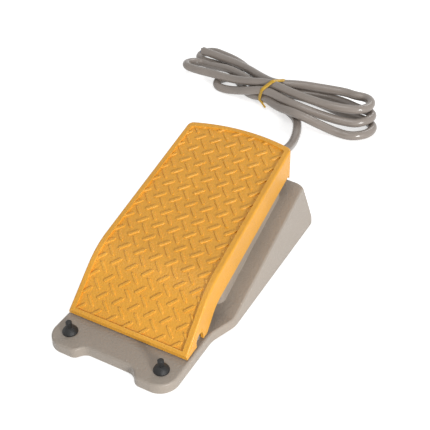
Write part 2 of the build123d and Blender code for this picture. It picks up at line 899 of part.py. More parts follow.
def switch_screw_bores():
    """Holes for those screws."""
    return [crosswise(switch_screw_radius, -reach, reach, d, z) for d, z in switch_screw_places()]


def switch_button():
    """Plunger that the lever presses."""
    pin_d, pin_z = lever_pivot()
    lever_under = pin_z + button_arm * tan(radians(rest_tilt())) - lever_thickness / 2
    button = standing(button_radius, case_top() - 4.5, lever_under - contact_gap, 0, pin_d + button_arm)
    return fillet(button.edges().filter_by(lambda e: e.center().Z > case_top()), 0.5)


def switch_lever():
    """Spring steel lever with a rolled eye."""
    pin_d, pin_z = lever_pivot()
    half = lever_width / 2
    eye = crosswise(eye_radius, -half, half, pin_d, pin_z)
    blade = block((-half, half), (pin_d, pin_d + lever_arm + lever_tail),
                  (pin_z - lever_thickness / 2, pin_z + lever_thickness / 2))
    lever = eye + blade - crosswise(pin_radius + shaft_running, -9, 9, pin_d, pin_z)
    axis = Axis((0, pedal_front + pin_d, pin_z), (1, 0, 0))
    return lever.rotate(axis, rest_tilt())


def lever_pin():
    """Pin through the case's ears."""
    pin_d, pin_z = lever_pivot()
    half = case_width / 2 - 0.2
    return crosswise(pin_radius, -half, half, pin_d, pin_z)


def terminal_places():
    """Distances of the three terminals."""
    first = case_front() + 4.5
    return [first + step * (case_length - 9) / 2 for step in range(3)]


def terminals():
    """Three blades under the case."""
    width, depth, height = terminal_size
    top = case_foot() + 2
    return [block((-width / 2, width / 2), (d - depth / 2, d + depth / 2), (top - height, top))
            for d in terminal_places()]


def bracket_height():
    """Underside of the bracket's foot."""
    return case_top() - 2 * bracket_sheet


def bracket_post_places():
    """Distances of the two posts that carry the bracket."""
    middle = rod_d - bracket_shift
    return middle - bracket_post_pitch / 2, middle + bracket_post_pitch / 2


def switch_bracket():
    """Folded sheet that carries the switch on two posts."""
    side, low = case_width / 2, bracket_height()
    d_low, d_high = bracket_post_places()[0] - bracket_margin, bracket_post_places()[1] + bracket_margin
    web = block((side, side + bracket_sheet), (case_front(), case_front() + case_length),
                (case_foot(), low + bracket_sheet))
    foot = block((side, bracket_post_x + bracket_margin), (d_low, d_high), (low, low + bracket_sheet))
    bracket = web + foot
    bracket -= switch_screw_bores()
    bracket -= block((side - overrun, side + bracket_sheet + bracket_relief), (d_low - overrun, case_front()),
                     (low - overrun, low + overrun))
    radius = post_screw_radius + screw_clearance
    return bracket - [standing(radius, 0, reach, bracket_post_x, d) for d in bracket_post_places()]


def pan_screw(radius, length, head_radius, head_height):
    """Screw along +Z with its head below the origin."""
    shank = Pos(0, 0, length / 2) * Cylinder(radius, length)
    head = Pos(0, 0, -head_height / 2) * Cylinder(head_radius, head_height)
    head = fillet(head.edges().filter_by(lambda e: e.center().Z < -head_height / 2), head_height * 0.4)
    slot = Pos(0, 0, -head_height) * Box(head_radius * 2.2, 0.8, head_height * 0.7)
    return shank + head - slot


def bracket_screws():
    """Screws up into the bracket's posts."""
    screw = pan_screw(post_screw_radius, bracket_sheet + screw_depth, *screw_head)
    return [at(bracket_post_x, d, bracket_height()) * screw for d in bracket_post_places()]


def switch_screws():
    """Screws through the case and the bracket."""
    screw = pan_screw(switch_screw_radius, case_width + bracket_sheet + 4, 2.7, 1.8)
    return [at(-case_width / 2, d, z) * Rot(0, 90, 0) * screw for d, z in switch_screw_places()]


def switch_nuts():
    """Nuts on the switch screws."""
    nut = extrude(RegularPolygon(2.75, 6, major_radius=False), 2.2) - Cylinder(switch_screw_radius, 20)
    place = case_width / 2 + bracket_sheet
    return [at(place, d, z) * Rot(0, 90, 0) * nut for d, z in switch_screw_places()]


# Cover and feet


def bottom_cover():
    """Sheet cover of the casting's underside."""
    layer = block((-reach, reach), (0, 2 * base_length), (cover_height, cover_height + cover_sheet))
    sheet = cover_recess(cover_clearance) & layer
    radius = post_screw_radius + screw_clearance
    for x, d in cover_screw_places():
        sheet -= standing(radius, 0, reach, x, d)
        sink = Cone(cover_head + screw_clearance, radius, cover_sink)
        sheet -= at(x, d, cover_height + cover_sink / 2) * sink
    return sheet


def cover_gasket():
    """Flat ring seal under the casting's ledge."""
    low, high = cover_height + cover_sheet, ledge_height
    ring = cover_recess(cover_clearance) & block((-reach, reach), (0, 2 * base_length), (low, high))
    ring -= extrude(gasket_inner(), reach)
    ring += [standing(post_radius, low, high, x, d) for x, d in cover_screw_places()]
    radius = post_screw_radius + screw_clearance
    return ring - [standing(radius, 0, reach, x, d) for x, d in cover_screw_places()]


def gasket_inner():
    """Inner edge of the gasket."""
    inner = base_plan(cover_inset + gasket_width) & behind_line(cover_front_d + gasket_width)
    radius = foot_radius + gasket_width + 1
    return inner - [Pos(x, pedal_front + rear_foot_d) * Circle(radius) for x in (-rear_foot_x, rear_foot_x)]


def cover_screws():
    """Countersunk screws of the cover."""
    neck = cover_height + cover_sink
    length = cover_screw_tip - neck
    screw = Pos(0, 0, cover_height + cover_sink / 2) * Cone(cover_head, post_screw_radius, cover_sink)
    screw += Pos(0, 0, neck + length / 2) * Cylinder(post_screw_radius, length)
    screw -= Pos(0, 0, cover_height) * Box(cover_head * 1.5, 0.8, 1.0)
    return [at(x, d, 0) * screw for x, d in cover_screw_places()]


def rubber_foot(web_top, dome_radius, dome_height, tail_radius, tail_height):
    """Push-in foot: disc, stem, mushroom head and pull tail, turned about Z."""
    crown = web_top + dome_height
    tip = crown + tail_height
    outline = Polyline((0, 0), (foot_radius - foot_round, 0), (foot_radius, foot_round),
                       (foot_radius, foot_disc - 0.3), (foot_stem_radius, foot_disc + 0.2),
                       (foot_stem_radius, web_top), (dome_radius, web_top),
                       (dome_radius, web_top + foot_round))
    shoulder = (tail_radius, crown)
    dome = ThreePointArc(outline @ 1, (dome_radius * 0.78, web_top + dome_height * 0.62), shoulder)
    tail = Polyline(shoulder, (tail_radius, tip - 0.6), (tail_radius - 0.6, tip), (0, tip), (0, 0))
    profile = Plane.XZ * make_face(outline + dome + tail)
    return revolve(profile, Axis.Z)


def front_feet():
    """Feet of the toe plate, whose heads stand on its top."""
    foot = rubber_foot(plate_top, *front_head)
    return [at(side * foot_x, foot_d, 0) * foot for side in (-1, 1)]


def rear_feet():
    """Feet in the rear corners."""
    foot = rubber_foot(foot_web_floor + rear_foot_web, *rear_head)
    return [at(side * rear_foot_x, rear_foot_d, 0) * foot for side in (-1, 1)]


# Cord and its fittings


def boot_end_d():
    """Distance of the strain relief's tip."""
    return rear_face_d + bushing_flange + boot_length


def cord_bushing():
    """Rubber bushing in the outlet, with a flange and a tapered, grooved boot."""
    face = rear_face_d
    bushing = lengthwise(outlet_bore - 0.05, outlet_front_d - 1.5, face, 0, cord_height)
    bushing += lengthwise(outlet_bore + 1.2, outlet_front_d - 4, outlet_front_d, 0, cord_height)
    bushing += lengthwise(bushing_flange_radius, face, face + bushing_flange, 0, cord_height)
    boot = Cone(boot_root_radius, boot_tip_radius, boot_length)
    bushing += at(0, face + bushing_flange + boot_length / 2, cord_height) * Rot(-90, 0, 0) * boot
    for step in range(1, boot_grooves + 1):
        along = step * boot_groove_pitch
        start = face + bushing_flange + along - boot_groove_width / 2
        radius = boot_root_radius - (boot_root_radius - boot_tip_radius) * along / boot_length
        end = start + boot_groove_width
        core = lengthwise(radius - boot_groove_depth, start, end, 0, cord_height)
        bushing -= lengthwise(boot_root_radius + 1, start, end, 0, cord_height) - core
    return bushing - lengthwise(cord_radius, 0, 2 * base_length, 0, cord_height)


def cord_sheath_end():
    """Sheathed end of the cord, from the boot's tip to where its wires part."""
    return lengthwise(cord_radius, sheath_end_d, boot_end_d(), 0, cord_height)


def cord_clamp():
    """Saddle strap under the cord."""
    d_low, d_high = clamp_d - clamp_width / 2, clamp_d + clamp_width / 2
    outer = cord_radius + clamp_sheet
    strap = lengthwise(outer, d_low, d_high, 0, cord_height)
    strap &= block((-reach, reach), (d_low, d_high), (0, cord_height + clamp_sheet))
    wing = clamp_post_x + post_radius
    strap += block((-wing, wing), (d_low, d_high), (cord_height, cord_height + clamp_sheet))
    strap -= lengthwise(cord_radius, 0, base_length, 0, cord_height)
    strap -= block((-cord_radius, cord_radius), (d_low, d_high), (cord_height, reach))
    radius = post_screw_radius + screw_clearance
    return strap - [standing(radius, 0, reach, x, clamp_d) for x in (-clamp_post_x, clamp_post_x)]


def clamp_screws():
    """Screws up through the strap's wings."""
    screw = pan_screw(post_screw_radius, clamp_sheet + screw_depth, *screw_head)
    return [at(side * clamp_post_x, clamp_d, cord_height) * screw for side in (-1, 1)]


def earth_lug():
    """Ring terminal under the earth screw."""
    low, high = earth_height() - lug_sheet, earth_height()
    lug = standing(lug_ring_radius, low, high, earth_post_x, earth_post_d)
    lug += block((earth_post_x, earth_post_x + lug_length),
                 (earth_post_d - lug_half, earth_post_d + lug_half), (low, high))
    return lug - standing(post_screw_radius + screw_clearance / 2, 0, reach, earth_post_x, earth_post_d)


def earth_screw():
    """Screw that holds the earth lug to its post."""
    screw = pan_screw(post_screw_radius, lug_sheet + screw_depth, *screw_head)
    return at(earth_post_x, earth_post_d, earth_height() - lug_sheet) * screw


def wire(points, radii):
    """Round wire through points of (x, distance, height)."""
    path = FilletPolyline(*[(x, pedal_front + d, z) for x, d, z in points], radius=radii)
    section = Plane(origin=path @ 0, z_dir=path % 0) * Circle(wire_radius)
    return sweep(section, path=path)


def switch_wires():
    """The two wires to the switch's blades, then the earth wire."""
    blade_x = terminal_size[0] / 2 + wire_radius
    low = case_foot() - wire_under_case
    start = cord_height - wire_drop
    way = sheath_end_d - terminal_places()[-1]
    live = []
    for side, terminal_d in ((1, terminal_places()[1]), (-1, terminal_places()[2])):
        points = [(side * wire_spread, sheath_end_d, start),
                  (side * wire_spread, sheath_end_d - wire_level_share * way, start),
                  (side * blade_x, sheath_end_d - wire_slope_share * way, low),
                  (side * blade_x, terminal_d - wire_lap, low)]
        live.append(wire(points, [wire_bend, wire_bend]))
    lug_end = earth_post_x + lug_length
    high = earth_height() - lug_sheet / 2
    start = cord_height + wire_spread
    earth = [(0.0, sheath_end_d, start), (0.0, sheath_end_d - earth_wire_level, start),
             (lug_end + earth_wire_turn, earth_post_d, high), (lug_end, earth_post_d, high)]
    return *live, wire(earth, [earth_wire_bend, earth_wire_bend])


def cord_path():
    """The free cord's path: straight runs and the widest arcs that they leave room for."""
    start = Vector(0, pedal_front + boot_end_d(), cord_height)
    points = [start] + [Vector(x, base_length / 2 + behind, z) for x, behind, z in cord_route]
    radii = []
    for before, corner, after in zip(points, points[1:], points[2:]):
        run = min((corner - before).length, (after - corner).length)
        turn = radians((corner - before).get_angle(after - corner))
        radii.append(0.45 * run / tan(turn / 2))
    return FilletPolyline(*points, radius=radii), radii


def cord():
    """The free cord, from the boot to the hank."""
    path, _ = cord_path()
    section = Plane(origin=path @ 0, z_dir=path % 0) * Circle(cord_radius)
    return sweep(section, path=path)


def hank_form(inset=0.0):
    """Outer form of the hank, lower at the end where fewer strands lie on each other."""
    points = [(x, pedal_front + d) for x, d in hank_outline]
    plan = make_face(FilletPolyline(*points, radius=hank_corner, close=True))
    if inset:
        plan = offset(plan, amount=-inset)
    solid = Pos(0, 0, inset) * extrude(plan, hank_height - 2 * inset)
    solid = chamfer(solid.faces().sort_by(Axis.Z)[-1].edges(), hank_chamfer)
    low_x, high_x = hank_slope_x
    far = 2 * base_length
    side = [(-far, 0), (far, 0), (far, hank_height), (high_x, hank_height), (low_x, hank_tail_height),
            (-far, hank_tail_height)]
    return solid & extrude(Plane.XZ * make_face(Polyline(*side, close=True)), far, both=True)


def tie_form():
    """Band round the hank's waist, as deep as the tie is thick."""
    band = Pos(tie_x, 0, 0) * Box(tie_width, 4 * base_length, 4 * hank_height)
    return (hank_form() - hank_form(tie_thickness)) & band


def cord_hank():
    """The tied hank, with the groove that its tie lies in."""
    return hank_form() - tie_form()


def export(name, shape):
    """Write one node."""
    solids = []
    for item in shape if isinstance(shape, (list, tuple)) else [shape]:
        solids += list(item.solids())
    result = solids[0] if len(solids) == 1 else Compound(children=solids)
    export_step(result, f"parts/{name}.step")


def main():
    os.makedirs("parts", exist_ok=True)
    brown, blue, earth = switch_wires()
    nodes = {
        "base_casting": base_casting(),
        "pedal": pedal(),
        "pivot_shaft": pivot_shaft(),
        "shaft_clips": shaft_clips(),
        "pivot_bushes": pivot_bushes(),
        "thrust_washers": thrust_washers(),
        "adjusting_screw": adjusting_screw(),
        "lock_nut": lock_nut(),
        "push_rod": push_rod(),
        "rod_clip": rod_clip(),
        "guide_bush": guide_bush(),
        "rod_seal": rod_seal(),
        "return_spring": return_spring(),
        "switch_case": switch_case(),
        "switch_button": switch_button(),
        "switch_lever": switch_lever(),
        "lever_pin": lever_pin(),
        "switch_terminals": terminals(),
        "switch_bracket": switch_bracket(),
        "bracket_screws": bracket_screws(),
        "switch_screws": switch_screws(),
        "switch_nuts": switch_nuts(),
        "bottom_cover": bottom_cover(),
        "cover_gasket": cover_gasket(),
        "cover_screws": cover_screws(),
        "front_feet": front_feet(),
        "rear_feet": rear_feet(),
        "cord_bushing": cord_bushing(),
        "cord_sheath_end": cord_sheath_end(),
        "cord_clamp": cord_clamp(),
        "clamp_screws": clamp_screws(),
        "earth_lug": earth_lug(),
        "earth_screw": earth_screw(),
        "brown_wire": brown,
        "blue_wire": blue,
        "earth_wire": earth,
        "cord": cord(),
        "cord_hank": cord_hank(),
        "cord_tie": tie_form(),
    }
    for name, shape in nodes.items():
        export(name, shape)
    path, radii = cord_path()
    print("cord radii", [round(radius, 1) for radius in radii])
    section = pi * cord_radius**2
    print("cord volume over section times length", round(nodes["cord"].volume / (section * path.length), 5))


main()
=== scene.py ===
import json
import math

import bpy
from mathutils import Matrix, Vector

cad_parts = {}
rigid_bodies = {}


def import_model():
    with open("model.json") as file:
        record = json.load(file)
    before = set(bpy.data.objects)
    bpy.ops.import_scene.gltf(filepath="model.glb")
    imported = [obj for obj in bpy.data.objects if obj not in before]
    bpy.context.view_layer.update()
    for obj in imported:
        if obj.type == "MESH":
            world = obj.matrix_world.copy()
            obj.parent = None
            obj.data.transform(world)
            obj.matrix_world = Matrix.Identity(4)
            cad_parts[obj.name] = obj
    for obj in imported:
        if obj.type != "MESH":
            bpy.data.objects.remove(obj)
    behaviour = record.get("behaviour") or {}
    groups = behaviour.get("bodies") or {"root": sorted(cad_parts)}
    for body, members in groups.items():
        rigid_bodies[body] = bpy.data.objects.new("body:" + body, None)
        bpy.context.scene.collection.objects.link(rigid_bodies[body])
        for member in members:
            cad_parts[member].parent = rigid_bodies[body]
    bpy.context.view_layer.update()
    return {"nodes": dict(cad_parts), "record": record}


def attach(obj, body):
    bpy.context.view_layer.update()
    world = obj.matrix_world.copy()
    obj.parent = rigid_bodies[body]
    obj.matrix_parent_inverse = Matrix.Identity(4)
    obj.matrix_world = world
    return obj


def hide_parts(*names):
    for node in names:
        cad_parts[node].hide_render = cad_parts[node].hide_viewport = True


# Foot switch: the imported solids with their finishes, the cord in its tied hank, and the studio.
# Metres, in the model's frame: +X right, +Y from the toe plate to the cord, +Z up, floor at z = 0.

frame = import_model()
nodes = frame["nodes"]
scene = bpy.context.scene
for item in bpy.data.objects:
    item.select_set(False)


def colour(text):
    """Linear colour from an sRGB hex value."""
    parts = [int(text[i:i + 2], 16) / 255 for i in (1, 3, 5)]
    return tuple(c / 12.92 if c <= 0.04045 else ((c + 0.055) / 1.055) ** 2.4 for c in parts) + (1.0,)


def add(material, kind, links=None, **settings):
    """Add one node: settings are its properties, links its sockets' values or the sockets they come from."""
    node = material.node_tree.nodes.new(kind)
    for name, value in settings.items():
        setattr(node, name, value)
    for socket, value in (links or {}).items():
        if isinstance(value, bpy.types.NodeSocket):
            material.node_tree.links.new(value, node.inputs[socket])
        else:
            node.inputs[socket].default_value = value
    return node


# What all finishes share: heights and reach in metres, and shares of the noise, the edge wear with its painted
# highlight, and the gloss
grain_height, swell_height, wear_and_highlight_reach = 0.0005, 0.001, 0.0012
specks_per_metre, speck_core, speck_rim, speck_strength = 190.0, 0.07, 0.13, 0.5
noise_low, noise_high = 0.32, 0.68
flat_level, sharp_level, wear_and_highlight_strength = 0.99, 0.80, 0.55
gloss_low, gloss_high, gloss_least, gloss_most = 0.3, 0.7, 0.86, 1.16


def finish(name, base, roughness, metallic=0.0, tone=0.05, patch=30.0, grain=1.0, relief=0.1, swell=12.0,
           swell_relief=0.1, stretch=(1.0, 1.0, 1.0), edge_wear_and_highlight=None, speck=None, ior=1.5, sheen=0.0):
    """A finish with soft patches of tone and gloss, a fine grain on a slower swell, and paler edges and specks.

    patch, grain and swell are sizes in millimetres; stretch draws the grain out along one way; the edge colour is
    painted along rounded edges, partly as rubbed wear and partly as a painted highlight, and speck is that of small
    pale dots.
    """
    material = bpy.data.materials.new(name)
    material.use_nodes = True
    material.node_tree.nodes.clear()
    place = add(material, "ShaderNodeTexCoord")
    patches = add(material, "ShaderNodeTexNoise", {"Vector": place.outputs["Object"], "Scale": 1000 / patch,
                                                   "Detail": 5.0, "Roughness": 0.6})
    dark = tuple(c * (1 - tone) for c in colour(base)[:3]) + (1.0,)
    light = tuple(min(1.0, c * (1 + tone)) for c in colour(base)[:3]) + (1.0,)
    spread = add(material, "ShaderNodeMapRange", {"Value": patches.outputs["Fac"], "From Min": noise_low,
                                                  "From Max": noise_high})
    skin = add(material, "ShaderNodeMix", {0: spread.outputs[0], 6: dark, 7: light}, data_type="RGBA").outputs[2]
    drawn = add(material, "ShaderNodeMapping", {"Vector": place.outputs["Object"], "Scale": stretch})
    fine = add(material, "ShaderNodeTexNoise", {"Vector": drawn.outputs[0], "Scale": 1000 / grain, "Detail": 3.0})
    if speck:
        dots = add(material, "ShaderNodeTexVoronoi", {"Vector": place.outputs["Object"],
                                                      "Scale": specks_per_metre, "Randomness": 1.0})
        near = add(material, "ShaderNodeMapRange", {"Value": dots.outputs["Distance"], "From Min": speck_core,
                                                    "From Max": speck_rim, "To Min": speck_strength, "To Max": 0.0})
        some = add(material, "ShaderNodeMath", {0: near.outputs[0], 1: patches.outputs["Fac"]}, operation="MULTIPLY")
        skin = add(material, "ShaderNodeMix", {0: some.outputs[0], 6: skin, 7: colour(speck)},
                   data_type="RGBA").outputs[2]
    # Edges painted paler: partly rubbed wear, partly a painted highlight where light catches their rounding.
    if edge_wear_and_highlight:
        rounded = add(material, "ShaderNodeBevel", {"Radius": wear_and_highlight_reach}, samples=6)
        flat = add(material, "ShaderNodeNewGeometry")
        level = add(material, "ShaderNodeVectorMath", {0: rounded.outputs[0], 1: flat.outputs["Normal"]},
                    operation="DOT_PRODUCT")
        rubbed_and_lit = add(material, "ShaderNodeMapRange", {"Value": level.outputs["Value"], "From Min": flat_level,
                                                      "From Max": sharp_level, "To Min": 0.0,
                                                      "To Max": wear_and_highlight_strength})
        ragged_wear_and_highlight = add(material, "ShaderNodeMath", {0: rubbed_and_lit.outputs[0], 1: spread.outputs[0]}, operation="MULTIPLY")
        skin = add(material, "ShaderNodeMix", {0: ragged_wear_and_highlight.outputs[0], 6: skin, 7: colour(edge_wear_and_highlight)},
                   data_type="RGBA").outputs[2]
    gloss = add(material, "ShaderNodeMapRange", {"Value": patches.outputs["Fac"], "From Min": gloss_low,
                                                 "From Max": gloss_high, "To Min": roughness * gloss_least,
                                                 "To Max": roughness * gloss_most})
    slow = add(material, "ShaderNodeTexNoise", {"Vector": place.outputs["Object"], "Scale": 1000 / swell,
                                                "Detail": 2.0})
    waves = add(material, "ShaderNodeBump", {"Height": slow.outputs["Fac"], "Strength": swell_relief,
                                             "Distance": swell_height})
    bump = add(material, "ShaderNodeBump", {"Height": fine.outputs["Fac"], "Strength": relief, "Distance": grain_height,
                                            "Normal": waves.outputs[0]})
    shader = add(material, "ShaderNodeBsdfPrincipled", {"Base Color": skin, "Roughness": gloss.outputs[0],
                                                        "Normal": bump.outputs[0], "Metallic": metallic, "IOR": ior,
                                                        "Sheen Weight": sheen})
    add(material, "ShaderNodeOutputMaterial", {"Surface": shader.outputs[0]})
    return material


# Stoved enamel on cast aluminium: a satin skin that shows the casting's fine grain, paler along its edges,
# partly as rubbed wear and partly as a painted highlight.
grey_enamel = finish("grey_stoved_enamel", "#A1968A", 0.38, tone=0.035, patch=40, grain=1.4, relief=0.75, swell=9,
                     swell_relief=0.07, edge_wear_and_highlight="#D6D0C6", speck="#D9D4CB")
yellow_enamel = finish("yellow_stoved_enamel", "#E6A433", 0.37, tone=0.045, patch=30, grain=1.4, relief=0.85, swell=9,
                       swell_relief=0.07, edge_wear_and_highlight="#FBCB6A")
# Moulded rubber: black, dull, with a bloom of pale dust in soft patches.
black_rubber = finish("moulded_black_rubber", "#0A0909", 0.55, tone=0.35, patch=7, grain=0.5, relief=0.3, sheen=0.05)
# Soft vinyl sheath: smooth satin grey with long soft lights, slightly uneven over the cores inside it.
vinyl_sheath = finish("soft_grey_vinyl", "#958B83", 0.23, tone=0.05, patch=22, grain=1.5, relief=0.12, swell=7,
                      swell_relief=0.22, ior=1.53)
# Ground steel shafts and pins: bright, with fine rings left by the wheel.
ground_steel = finish("ground_steel", "#A8A8AA", 0.25, metallic=1.0, tone=0.05, patch=5, grain=0.4, relief=0.2,
                      stretch=(6.0, 0.4, 0.4))
# Oiled spring steel: darker and slightly brown, with a soft drawn grain.
spring_wire = finish("oiled_spring_steel", "#74716E", 0.34, metallic=1.0, tone=0.12, patch=4, grain=0.4, relief=0.15)
# Bright zinc plate on pressed sheet and screws: cool grey, cloudy, with faint handling marks.
zinc_plate = finish("bright_zinc_plate", "#BCC0C4", 0.3, metallic=1.0, tone=0.1, patch=9, grain=0.7, relief=0.12,
                    swell=14, swell_relief=0.06)
# Sintered bronze bushes: matt gold-brown, pitted by their pores.
sintered_bronze = finish("sintered_bronze", "#A6855A", 0.45, metallic=1.0, tone=0.12, patch=3, grain=0.35, relief=0.5)
# Brass sheet: clear yellow with a light tarnish in patches.
brass_sheet = finish("brass_sheet", "#C6A55A", 0.3, metallic=1.0, tone=0.1, patch=5, grain=0.5, relief=0.1)
# Moulded phenolic: near black, hard and semi-gloss with faint flow marks.
phenolic = finish("moulded_phenolic", "#1E1E21", 0.36, tone=0.15, patch=8, grain=0.6, relief=0.12)
# Moulded acetal: red, smooth and waxy.
acetal = finish("red_acetal", "#B53A22", 0.33, tone=0.05, patch=4, grain=0.5, relief=0.06)
# Vinyl insulation: glossy and smooth, in the three usual colours of a mains cord's cores.
brown_vinyl = finish("brown_vinyl", "#5B3A24", 0.32, tone=0.06, patch=5, grain=0.8, relief=0.08)
blue_vinyl = finish("blue_vinyl", "#2B5C9A", 0.32, tone=0.06, patch=5, grain=0.8, relief=0.08)
green_vinyl = finish("green_vinyl", "#5D8D2F", 0.32, tone=0.06, patch=5, grain=0.8, relief=0.08)
# Vinyl-covered tie wire: warm yellow with a soft gloss, duller where it was twisted.
yellow_vinyl = finish("yellow_vinyl", "#CFA32B", 0.36, tone=0.12, patch=5, grain=0.8, relief=0.15)

finish_of_slot = {
    "base_paint": grey_enamel, "pedal_paint": yellow_enamel, "rubber": black_rubber, "cord_sheath": vinyl_sheath,
    "steel": ground_steel, "spring_steel": spring_wire, "zinc_steel": zinc_plate, "bronze": sintered_bronze,
    "brass": brass_sheet, "case_plastic": phenolic, "button_plastic": acetal, "wire_brown": brown_vinyl,
    "wire_blue": blue_vinyl, "wire_earth": green_vinyl, "tie_yellow": yellow_vinyl,
}
for part in frame["record"]["subparts"]:
    for slot in nodes[part["node"]].material_slots:
        slot.material = finish_of_slot[part["material_slot"]]


# Modelling helpers

def smooth_line(name, points, radius, material):
    """Round tube along control points in millimetres, radius in metres."""
    data = bpy.data.curves.new(name, "CURVE")
    data.dimensions = "3D"
    spline = data.splines.new("NURBS")
    spline.points.add(len(points) - 1)
    for point, place in zip(spline.points, points):
        point.co = (*(value / 1000 for value in place), 1.0)
    spline.order_u = 3
    spline.use_endpoint_u = True
    spline.resolution_u = 8
    data.bevel_depth = radius
    data.bevel_resolution = 7
    data.use_fill_caps = True
    data.materials.append(material)
    piece = bpy.data.objects.new(name, data)
    scene.collection.objects.link(piece)
    return piece


def select_only(piece):
    """Make one object the only selected and the active one."""
    bpy.ops.object.select_all(action="DESELECT")
    piece.select_set(True)
    bpy.context.view_layer.objects.active = piece


def settle(piece, name, material, smooth_angle=35.0):
    """Put a finished piece's place into its mesh, then name, smooth and paint it."""
    select_only(piece)
    bpy.ops.object.transform_apply(location=True, rotation=True, scale=True)
    bpy.ops.object.shade_smooth_by_angle(angle=math.radians(smooth_angle))
    piece.name = name
    piece.data.name = name
    piece.data.materials.clear()
    piece.data.materials.append(material)


# Camera, fitted to the photograph

view = bpy.data.cameras.new("camera")
view.lens, view.sensor_width = 65.92, 36.0
view.clip_start = 0.01
camera = bpy.data.objects.new("camera", view)
scene.collection.objects.link(camera)
azimuth, elevation, roll, distance = math.radians(30.381), math.radians(37.554), math.radians(-1.908), 0.60497
target = Vector((0.0, 0.042222, 0.027219))
away = Vector((math.sin(azimuth) * math.cos(elevation), -math.cos(azimuth) * math.cos(elevation), math.sin(elevation)))
level = Vector((math.cos(azimuth), math.sin(azimuth), 0.0))
upright = away.cross(level)
turned = Matrix((level, upright, away)).transposed() @ Matrix.Rotation(roll, 3, "Z")
camera.matrix_world = Matrix.Translation(target + away * distance) @ turned.to_4x4()
scene.camera = camera


# Cord

cord_diameter = 0.0084
# Route in millimetres: out of the outlet, down to the floor, then back and forth through the tie, each loop on the
# right above the last, to the cut end at the far left.
cord_points = [
    (0, 141, 16), (0, 157, 16), (-0.8, 175, 10.8), (-3.6, 194, 5.9), (-8.4, 213, 4.4), (-15.6, 231, 4.3),
    (-24, 241, 4.2), (-38, 250, 4.2), (-59, 259.6, 5.7), (-80, 273, 4.2), (-100, 289, 4.2),
    (-122, 300, 4.2), (-146, 304, 4.2), (-157, 304, 4.2), (-167, 306, 4.2), (-172.5, 314.5, 4.2),
    (-170.5, 324.4, 4.2), (-162, 330, 4.2), (-152, 328, 4.2), (-128, 321, 4.2), (-103, 304, 4.5),
    (-80, 286, 6.2), (-56.9, 267.2, 9.8), (-31, 279, 4.3), (-6, 273.5, 4.2), (10, 268, 4.2),
    (26.5, 266, 4.2), (42.2, 264, 4.2), (52.4, 255.4, 4.2), (51, 240.6, 4.2), (38.2, 230.1, 4.2),
    (23, 231.2, 4.4), (12, 229.6, 7.8), (1, 228.4, 11.2), (-9, 228.8, 13.6), (-22, 231.2, 14.2),
    (-42, 240, 10.2), (-61.1, 252.5, 10), (-80, 257.3, 5.2), (-94, 268, 4.3), (-106.3, 281, 4.2),
    (-115.7, 283, 4.2), (-123.6, 277.6, 4.2), (-125.3, 268.1, 4.2), (-119.7, 260, 4.2), (-110.3, 258, 4.2),
    (-98, 256.5, 6.4), (-80, 251.2, 13.2), (-61.1, 252.5, 18.5), (-42, 246.3, 17.1), (-22, 239.6, 16.9),
    (0, 239.6, 13.6), (18, 240.2, 11.8), (27.8, 241.5, 11.2), (38.2, 242.5, 11.4), (46.8, 250.6, 12.8),
    (48.4, 261, 12.8), (42.2, 267.5, 12.8), (31.8, 267.5, 12.8), (18, 273, 12.6), (-7, 277, 12.5),
    (-35, 270, 12.3), (-59, 259.6, 14.3), (-80, 267.5, 12.6), (-100, 277, 13.5), (-120, 285.5, 12.6),
    (-138, 291.5, 8.5), (-148.9, 295, 6.2), (-159.1, 297, 6.2), (-167.7, 291.5, 7.8), (-169.8, 281.6, 9.9),
    (-164.1, 273, 11.5), (-153.9, 271, 11.5), (-145, 268.5, 12.5), (-128, 268, 12.8), (-105, 264.5, 13.8),
    (-82, 259.3, 18.9), (-59, 259.6, 23), (-37, 254, 21.7), (-15, 248.8, 21.7), (4, 246.2, 21.7),
    (18, 246, 21.7), (27, 247.6, 21.7), (37, 250.2, 21.7), (43.8, 257.8, 21.6), (43.4, 269, 21.6),
    (35.6, 276.1, 21.5), (24.4, 274.9, 21.5), (14, 278, 21.1), (-8, 275.5, 21.1), (-35, 273.3, 20.4),
    (-56.9, 266.9, 18.8), (-80, 279, 16.2), (-98, 290, 14.8), (-122, 300, 13.4), (-146, 306, 13),
    (-165, 310, 12.9),
]

flex = smooth_line("flex", cord_points, cord_diameter / 2, vinyl_sheath)
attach(flex, "base")
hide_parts("cord", "cord_hank")


# Cut end: the three cores stand a little out of the sheath

cord_end = Vector(cord_points[-1]) / 1000
end_way = (cord_end - Vector(cord_points[-2]) / 1000).normalized()
core_radius, core_reach = 0.00125, 0.0022
# In core radii: the cores' distance from the sheath's middle, then the bevel, wall and hollow of their cut faces
core_spread = 1.17
core_bevel, bevel_drop, core_wall, wall_rim, hollow = 0.12, 0.1, 0.3, 0.04, 0.4


def core_end(name, turn, material):
    """One insulated core, with its bevelled end and the hollow round its copper."""
    side = end_way.cross(Vector((0, 0, 1))).normalized()
    high = side.cross(end_way)
    offset = (side * math.cos(turn) + high * math.sin(turn)) * core_radius * core_spread
    bpy.ops.object.select_all(action="DESELECT")
    bpy.ops.mesh.primitive_cylinder_add(vertices=20, radius=core_radius, depth=2 * core_reach,
                                        location=cord_end + offset, rotation=end_way.to_track_quat("Z", "Y").to_euler())
    piece = bpy.context.object
    bpy.ops.object.mode_set(mode="EDIT")
    bpy.ops.mesh.select_mode(type="FACE")
    bpy.ops.mesh.select_all(action="DESELECT")
    bpy.ops.object.mode_set(mode="OBJECT")
    for face in piece.data.polygons:
        face.select = face.normal.z > 0.9
    bpy.ops.object.mode_set(mode="EDIT")
    for inward, outward in ((core_bevel, bevel_drop), (core_wall, 0.0), (wall_rim, -hollow)):
        bpy.ops.mesh.inset(thickness=core_radius * inward, depth=core_radius * outward)
    bpy.ops.object.mode_set(mode="OBJECT")
    settle(piece, name, material)
    return piece


